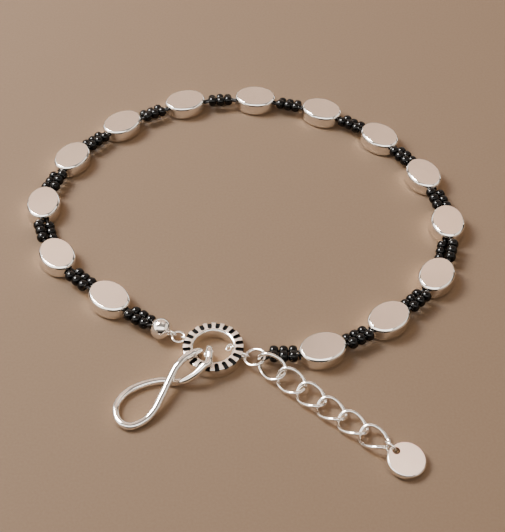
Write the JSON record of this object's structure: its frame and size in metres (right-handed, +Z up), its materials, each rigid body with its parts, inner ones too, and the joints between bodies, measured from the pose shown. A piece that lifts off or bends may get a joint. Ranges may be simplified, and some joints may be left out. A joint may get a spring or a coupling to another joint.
{
  "type": "payal anklet",
  "caption": "Beaded anklet lying closed in a loop: flat oval silver beads between twin rows of black seed beads, notched ring, figure-eight hook and a short curb chain with a round tag.",
  "frame": {"origin": "on the surface the anklet lies on, under the middle of its bounding box", "axes": "+Z up from the surface; -Y towards the clasp and the chain, +X to the right seen from there"},
  "size_m": [0.094, 0.1068, 0.0044],
  "materials": {
    "satin_silver": "satin faces, polished bevels",
    "polished_silver": "polished, dark notches on the ring",
    "black_beads": "glossy black glass beads on black thread"
  },
  "bodies": {
    "root": {"oval_bead_01": "satin_silver", "oval_bead_02": "satin_silver", "oval_bead_03": "satin_silver", "oval_bead_04": "satin_silver", "oval_bead_05": "satin_silver", "oval_bead_06": "satin_silver", "oval_bead_07": "satin_silver", "oval_bead_08": "satin_silver", "oval_bead_09": "satin_silver", "oval_bead_10": "satin_silver", "oval_bead_11": "satin_silver", "oval_bead_12": "satin_silver", "oval_bead_13": "satin_silver", "oval_bead_14": "satin_silver", "seed_cluster_01": "black_beads", "seed_cluster_02": "black_beads", "seed_cluster_03": "black_beads", "seed_cluster_04": "black_beads", "seed_cluster_05": "black_beads", "seed_cluster_06": "black_beads", "seed_cluster_07": "black_beads", "seed_cluster_08": "black_beads", "seed_cluster_09": "black_beads", "seed_cluster_10": "black_beads", "seed_cluster_11": "black_beads", "seed_cluster_12": "black_beads", "seed_cluster_13": "black_beads", "seed_cluster_14": "black_beads", "seed_cluster_15": "black_beads", "round_bead": "polished_silver", "jump_ring_left": "polished_silver", "notched_ring": "polished_silver", "figure_eight_hook": "polished_silver", "jump_ring_right": "polished_silver", "chain_link_1": "polished_silver", "chain_link_2": "polished_silver", "chain_link_3": "polished_silver", "chain_link_4": "polished_silver", "chain_link_5": "polished_silver", "chain_link_6": "polished_silver", "tag_jump_ring": "polished_silver", "tag_disc": "satin_silver"}
  },
  "joints": []
}
